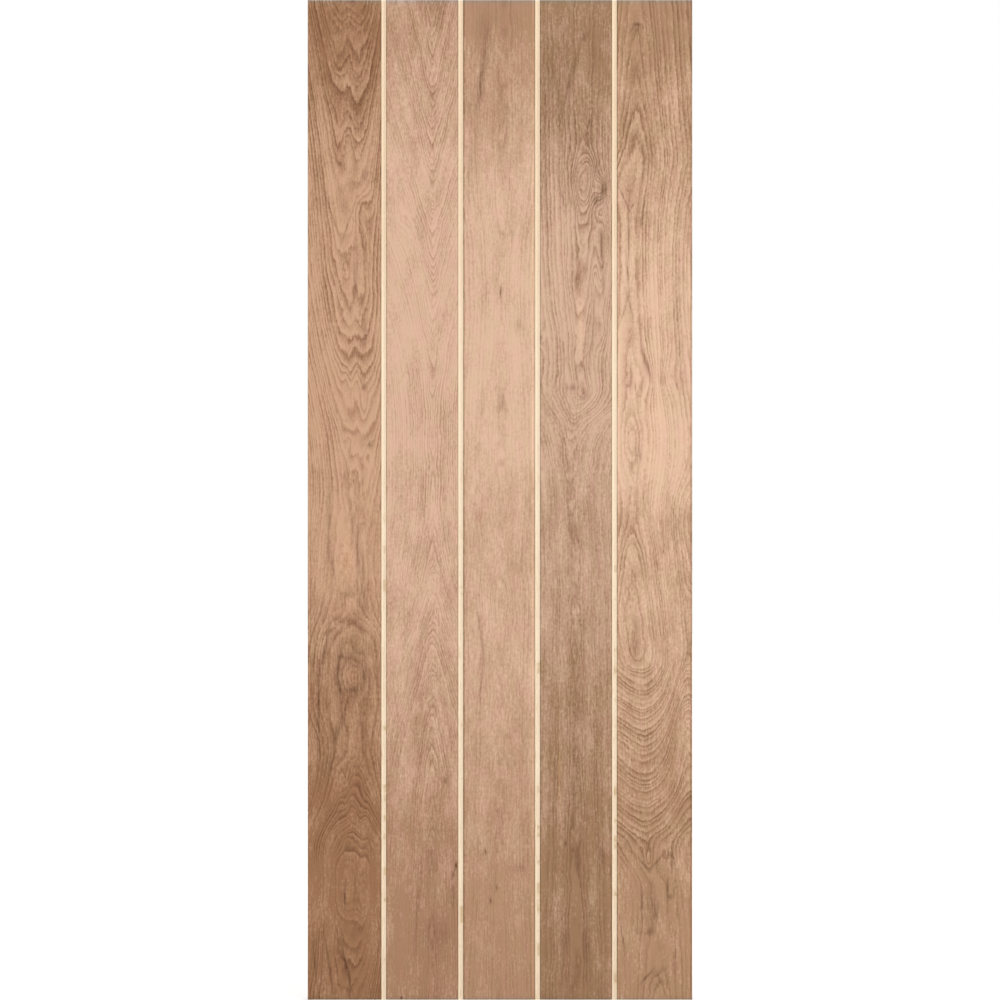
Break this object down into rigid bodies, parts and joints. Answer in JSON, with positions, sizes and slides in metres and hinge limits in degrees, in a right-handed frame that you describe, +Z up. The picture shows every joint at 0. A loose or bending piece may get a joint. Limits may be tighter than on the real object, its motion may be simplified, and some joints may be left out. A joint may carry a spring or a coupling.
{
  "type": "grooved plank door leaf",
  "caption": "Flat rectangular door leaf with upright oak face planks, pale V-grooves between them on both faces and a framed stave core.",
  "frame": {"origin": "middle of the bottom edge, half way through the thickness", "axes": "+X runs across the leaf from the hinge edge to the lock edge, +Y runs through it from the front face to the back face, +Z is up"},
  "size_m": [0.762, 0.035, 1.981],
  "materials": {
    "oak_plank_1": "sanded oak, unfinished",
    "oak_plank_2": "sanded oak, unfinished",
    "oak_plank_3": "sanded oak, unfinished",
    "oak_plank_4": "sanded oak, unfinished",
    "oak_plank_5": "sanded oak, unfinished",
    "oak_lipping": "sanded oak, unfinished",
    "pale_board": "pale wood, routed",
    "core_softwood": "sawn softwood",
    "dowel": "turned beech"
  },
  "bodies": {
    "root": {"back_board": "pale_board", "back_plank_1": "oak_plank_1", "back_plank_2": "oak_plank_2", "back_plank_3": "oak_plank_3", "back_plank_4": "oak_plank_4", "back_plank_5": "oak_plank_5", "bottom_rail": "core_softwood", "core_stave_01": "core_softwood", "core_stave_02": "core_softwood", "core_stave_03": "core_softwood", "core_stave_04": "core_softwood", "core_stave_05": "core_softwood", "core_stave_06": "core_softwood", "core_stave_07": "core_softwood", "core_stave_08": "core_softwood", "core_stave_09": "core_softwood", "core_stave_10": "core_softwood", "core_stave_11": "core_softwood", "core_stave_12": "core_softwood", "corner_dowels": "dowel", "front_board": "pale_board", "front_plank_1": "oak_plank_1", "front_plank_2": "oak_plank_2", "front_plank_3": "oak_plank_3", "front_plank_4": "oak_plank_4", "front_plank_5": "oak_plank_5", "hinge_edge_lipping": "oak_lipping", "hinge_stile": "core_softwood", "lock_edge_lipping": "oak_lipping", "lock_stile": "core_softwood", "top_rail": "core_softwood"}
  },
  "joints": []
}
